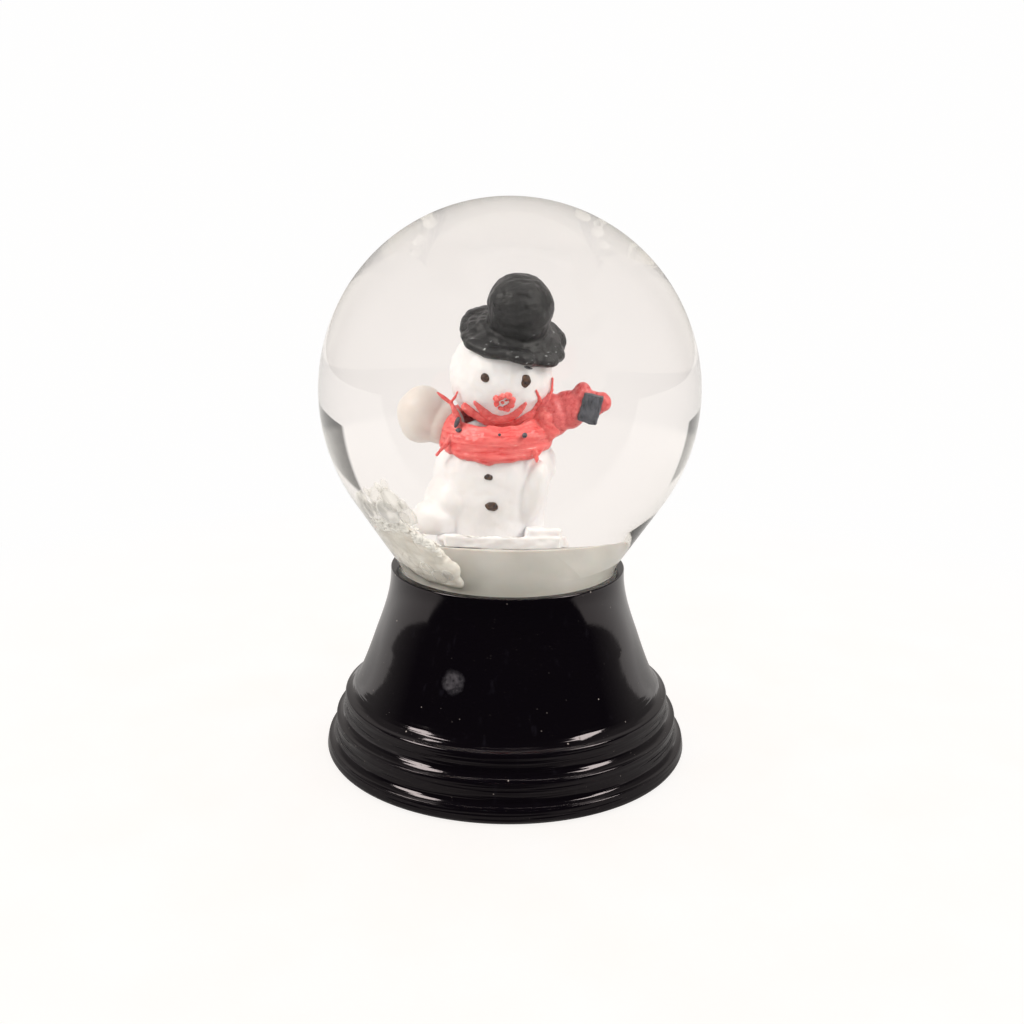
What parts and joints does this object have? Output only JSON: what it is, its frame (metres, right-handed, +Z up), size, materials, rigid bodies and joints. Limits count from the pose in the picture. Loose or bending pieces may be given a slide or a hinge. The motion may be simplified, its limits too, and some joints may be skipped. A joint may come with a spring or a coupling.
{
  "type": "snow globe",
  "caption": "Small water-filled glass globe on a ringed gloss black base, with a painted snowman and loose white flakes that rise when it is shaken.",
  "frame": {"origin": "centre of the underside, where the felt pad rests", "axes": "+Z up through the base and the globe; -Y is the front, which the snowman faces; +X is the side of the painted arm"},
  "size_m": [0.045, 0.045, 0.067],
  "materials": {
    "gloss_black_plastic": "gloss",
    "closing_board": "matte",
    "pad_felt": "matte",
    "sealant": "satin",
    "clear_glass": "polished",
    "off_white_rubber": "satin",
    "liquid": "polished",
    "figure_white": "satin",
    "hat_paint": "satin",
    "red_paint": "satin",
    "dull_red_paint": "satin",
    "dark_paint": "satin",
    "flake_white": "satin"
  },
  "bodies": {
    "globe": {"base_shell": "gloss_black_plastic", "closing_disc": "closing_board", "felt_pad": "pad_felt", "neck_sealant": "sealant", "glass_globe": "clear_glass", "stopper": "off_white_rubber", "liquid_fill": "liquid", "figure_slab": "figure_white", "snowman_body": "figure_white", "snowman_head": "figure_white", "hat": "hat_paint", "scarf": "red_paint", "mouth": "red_paint", "nose": "red_paint", "eye_left": "dark_paint", "eye_right": "dark_paint", "button_upper": "dark_paint", "button_lower": "dark_paint", "plain_arm": "figure_white", "painted_arm": "dull_red_paint", "arm_patch": "dark_paint", "snow_drift": "flake_white"},
    "flakes_left": {"flake_left_1": "flake_white", "flake_left_2": "flake_white", "flake_left_3": "flake_white"},
    "flakes_rear_right": {"flake_rear_right_1": "flake_white", "flake_rear_right_2": "flake_white", "flake_rear_right_3": "flake_white"},
    "flakes_rear": {"flake_rear_1": "flake_white", "flake_rear_2": "flake_white", "flake_rear_3": "flake_white"},
    "flakes_rear_left": {"flake_rear_left_1": "flake_white", "flake_rear_left_2": "flake_white", "flake_rear_left_3": "flake_white"}
  },
  "joints": [
    {"name": "flakes_left_rise", "type": "slide", "parent": "globe", "child": "flakes_left", "axis": [-0.101, 0.0271, 0.9945], "range_m": [0, 0.028], "deforming": ["liquid_fill"]},
    {"name": "flakes_rear_right_rise", "type": "slide", "parent": "globe", "child": "flakes_rear_right", "axis": [0.1545, 0.1391, 0.9781], "range_m": [0, 0.022], "deforming": ["liquid_fill"]},
    {"name": "flakes_rear_rise", "type": "slide", "parent": "globe", "child": "flakes_rear", "axis": [0, 0, 1], "range_m": [0, 0.031], "deforming": ["liquid_fill"]},
    {"name": "flakes_rear_left_rise", "type": "slide", "parent": "globe", "child": "flakes_rear_left", "axis": [-0.1006, 0.1198, 0.9877], "range_m": [0, 0.026], "deforming": ["liquid_fill"]}
  ]
}
